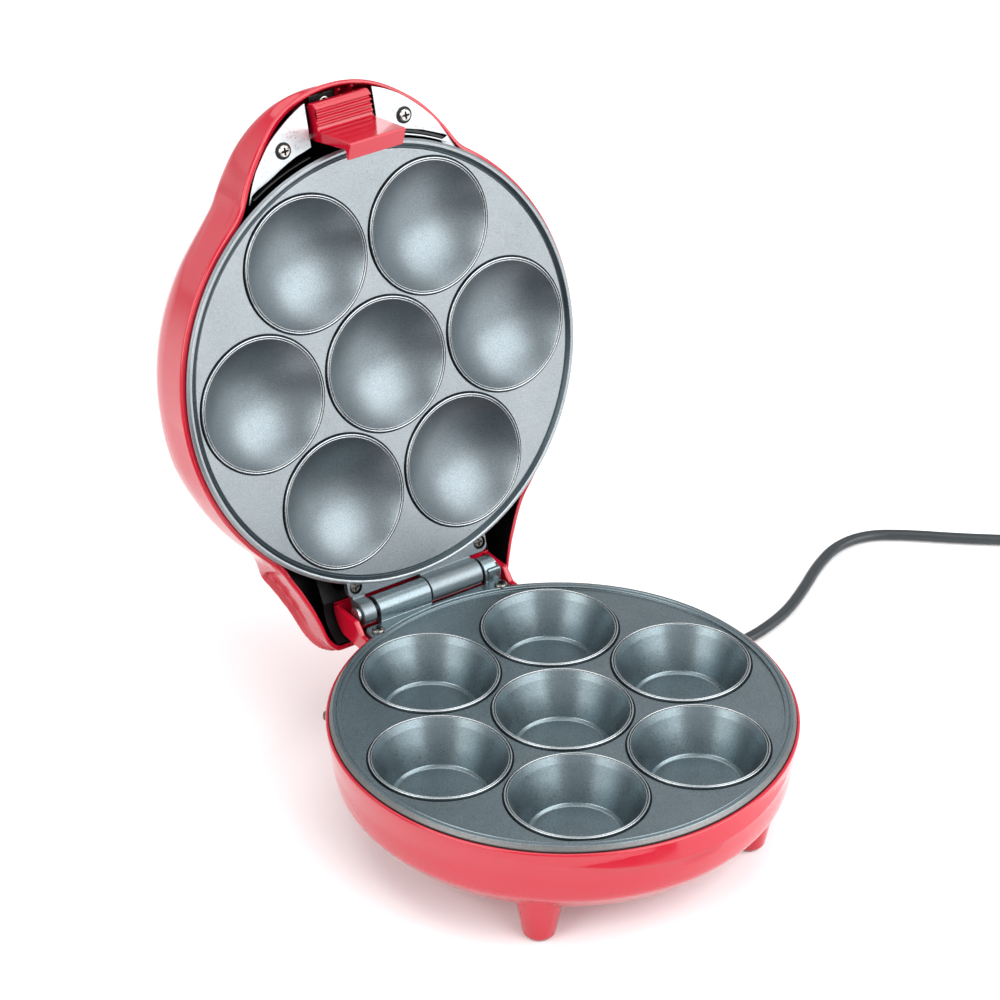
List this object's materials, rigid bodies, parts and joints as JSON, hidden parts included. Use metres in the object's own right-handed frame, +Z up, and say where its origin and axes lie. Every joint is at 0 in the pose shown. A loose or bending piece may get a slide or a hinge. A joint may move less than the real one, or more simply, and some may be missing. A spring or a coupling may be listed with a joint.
{
  "type": "cupcake maker",
  "caption": "Round countertop cupcake maker with a hinged lid, cup-shaped lower baking plate, domed upper plate, sprung front latch and mains cord.",
  "frame": {"origin": "on the table, under the middle of the open object's box without its cord", "axes": "+Z up, -Y towards the user (latch side), +X to the right; the hinge axis lies along X at the back"},
  "size_m": [0.5232, 0.3188, 0.298],
  "materials": {
    "red_plastic": "gloss",
    "nonstick_dark": "satin non-stick coating",
    "nonstick_grey": "satin non-stick coating",
    "rubber": "matte",
    "screw_steel": "plated",
    "pin_steel": "satin",
    "polished_steel": "polished",
    "element_steel": "heat tinted",
    "sheet_metal": "mill",
    "black_plastic": "matte",
    "white_plastic": "matte",
    "dark_lens": "gloss",
    "lamp_glass": "clear",
    "cord_jacket": "satin",
    "brass": "plated"
  },
  "bodies": {
    "base": {"base_shell": "red_plastic", "lower_plate": "nonstick_dark", "foot_pads": "rubber", "lower_plate_screws": "screw_steel", "hinge_pin": "pin_steel", "hinge_clip": "pin_steel", "lower_heater": "element_steel", "lower_element_clamps": "sheet_metal", "lower_heat_shield": "sheet_metal", "lower_clamp_screws": "screw_steel", "shield_spacers": "sheet_metal", "thermostat": "black_plastic", "thermal_fuse": "sheet_metal", "terminal_block": "white_plastic", "base_leads": "white_plastic", "pilot_lens": "dark_lens", "neon_lamp": "lamp_glass", "cord_gland": "black_plastic", "power_cord": "cord_jacket", "cord_coil": "cord_jacket", "plug_body": "cord_jacket", "plug_blades": "brass"},
    "lid": {"lid_shell": "red_plastic", "upper_plate": "nonstick_grey", "hood_liner": "black_plastic", "upper_plate_screws": "screw_steel", "upper_heater": "element_steel", "upper_element_clamps": "sheet_metal", "upper_heat_shield": "sheet_metal", "upper_clamp_screws": "screw_steel", "upper_leads": "white_plastic", "latch_bracket": "polished_steel", "bracket_screws": "screw_steel", "latch_pin": "pin_steel", "latch_spring": "pin_steel"},
    "latch": {"latch": "red_plastic"}
  },
  "joints": [
    {"name": "lid_hinge", "type": "hinge", "parent": "base", "child": "lid", "pos_m": [0, 0.05952, 0.063], "axis": [1, 0, 0], "range_deg": [0, 104.24]},
    {"name": "latch_pivot", "type": "hinge", "parent": "lid", "child": "latch", "pos_m": [0, 0.12757, 0.27425], "axis": [1, 0, 0], "range_deg": [-15, 0], "stiffness_Nm_per_rad": 0.05, "springref_deg": 17.19}
  ]
}
